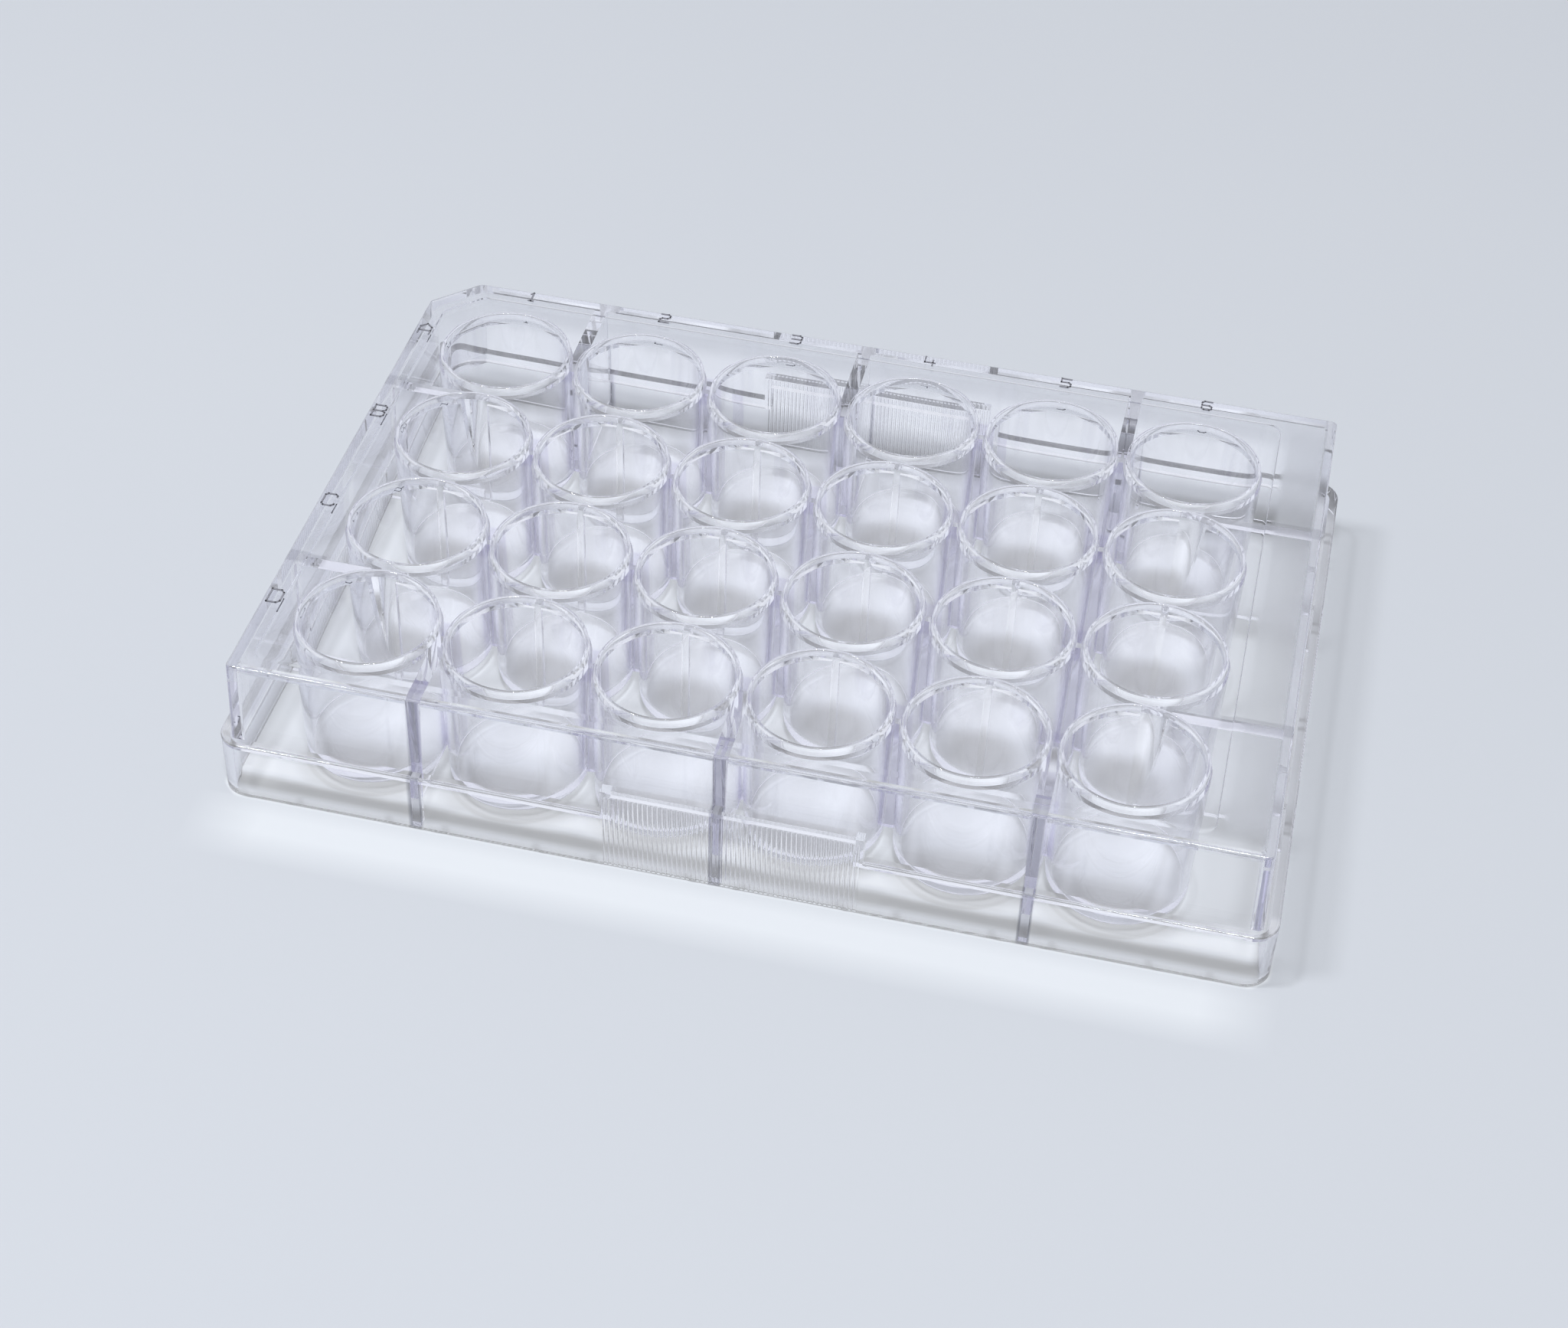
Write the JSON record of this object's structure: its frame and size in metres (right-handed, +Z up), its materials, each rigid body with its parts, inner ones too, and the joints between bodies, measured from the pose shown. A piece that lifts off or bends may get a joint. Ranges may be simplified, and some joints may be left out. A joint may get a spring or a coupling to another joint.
{
  "type": "well plate",
  "caption": "Clear open cell culture well plate with round wells under a flat deck, raised rims, a skirt with a ledge and fluted grips.",
  "frame": {"origin": "middle of the skirt's foot, on the surface that the plate stands on", "axes": "+Z up; +X along the plate from column 1 to column 6; +Y across it from row D to row A"},
  "size_m": [0.1278, 0.0854, 0.0208],
  "materials": {
    "clear_polystyrene": "clear gloss, with a lightly frosted border on the deck beside column 6"
  },
  "bodies": {
    "root": {"well_plate": "clear_polystyrene"}
  },
  "joints": []
}
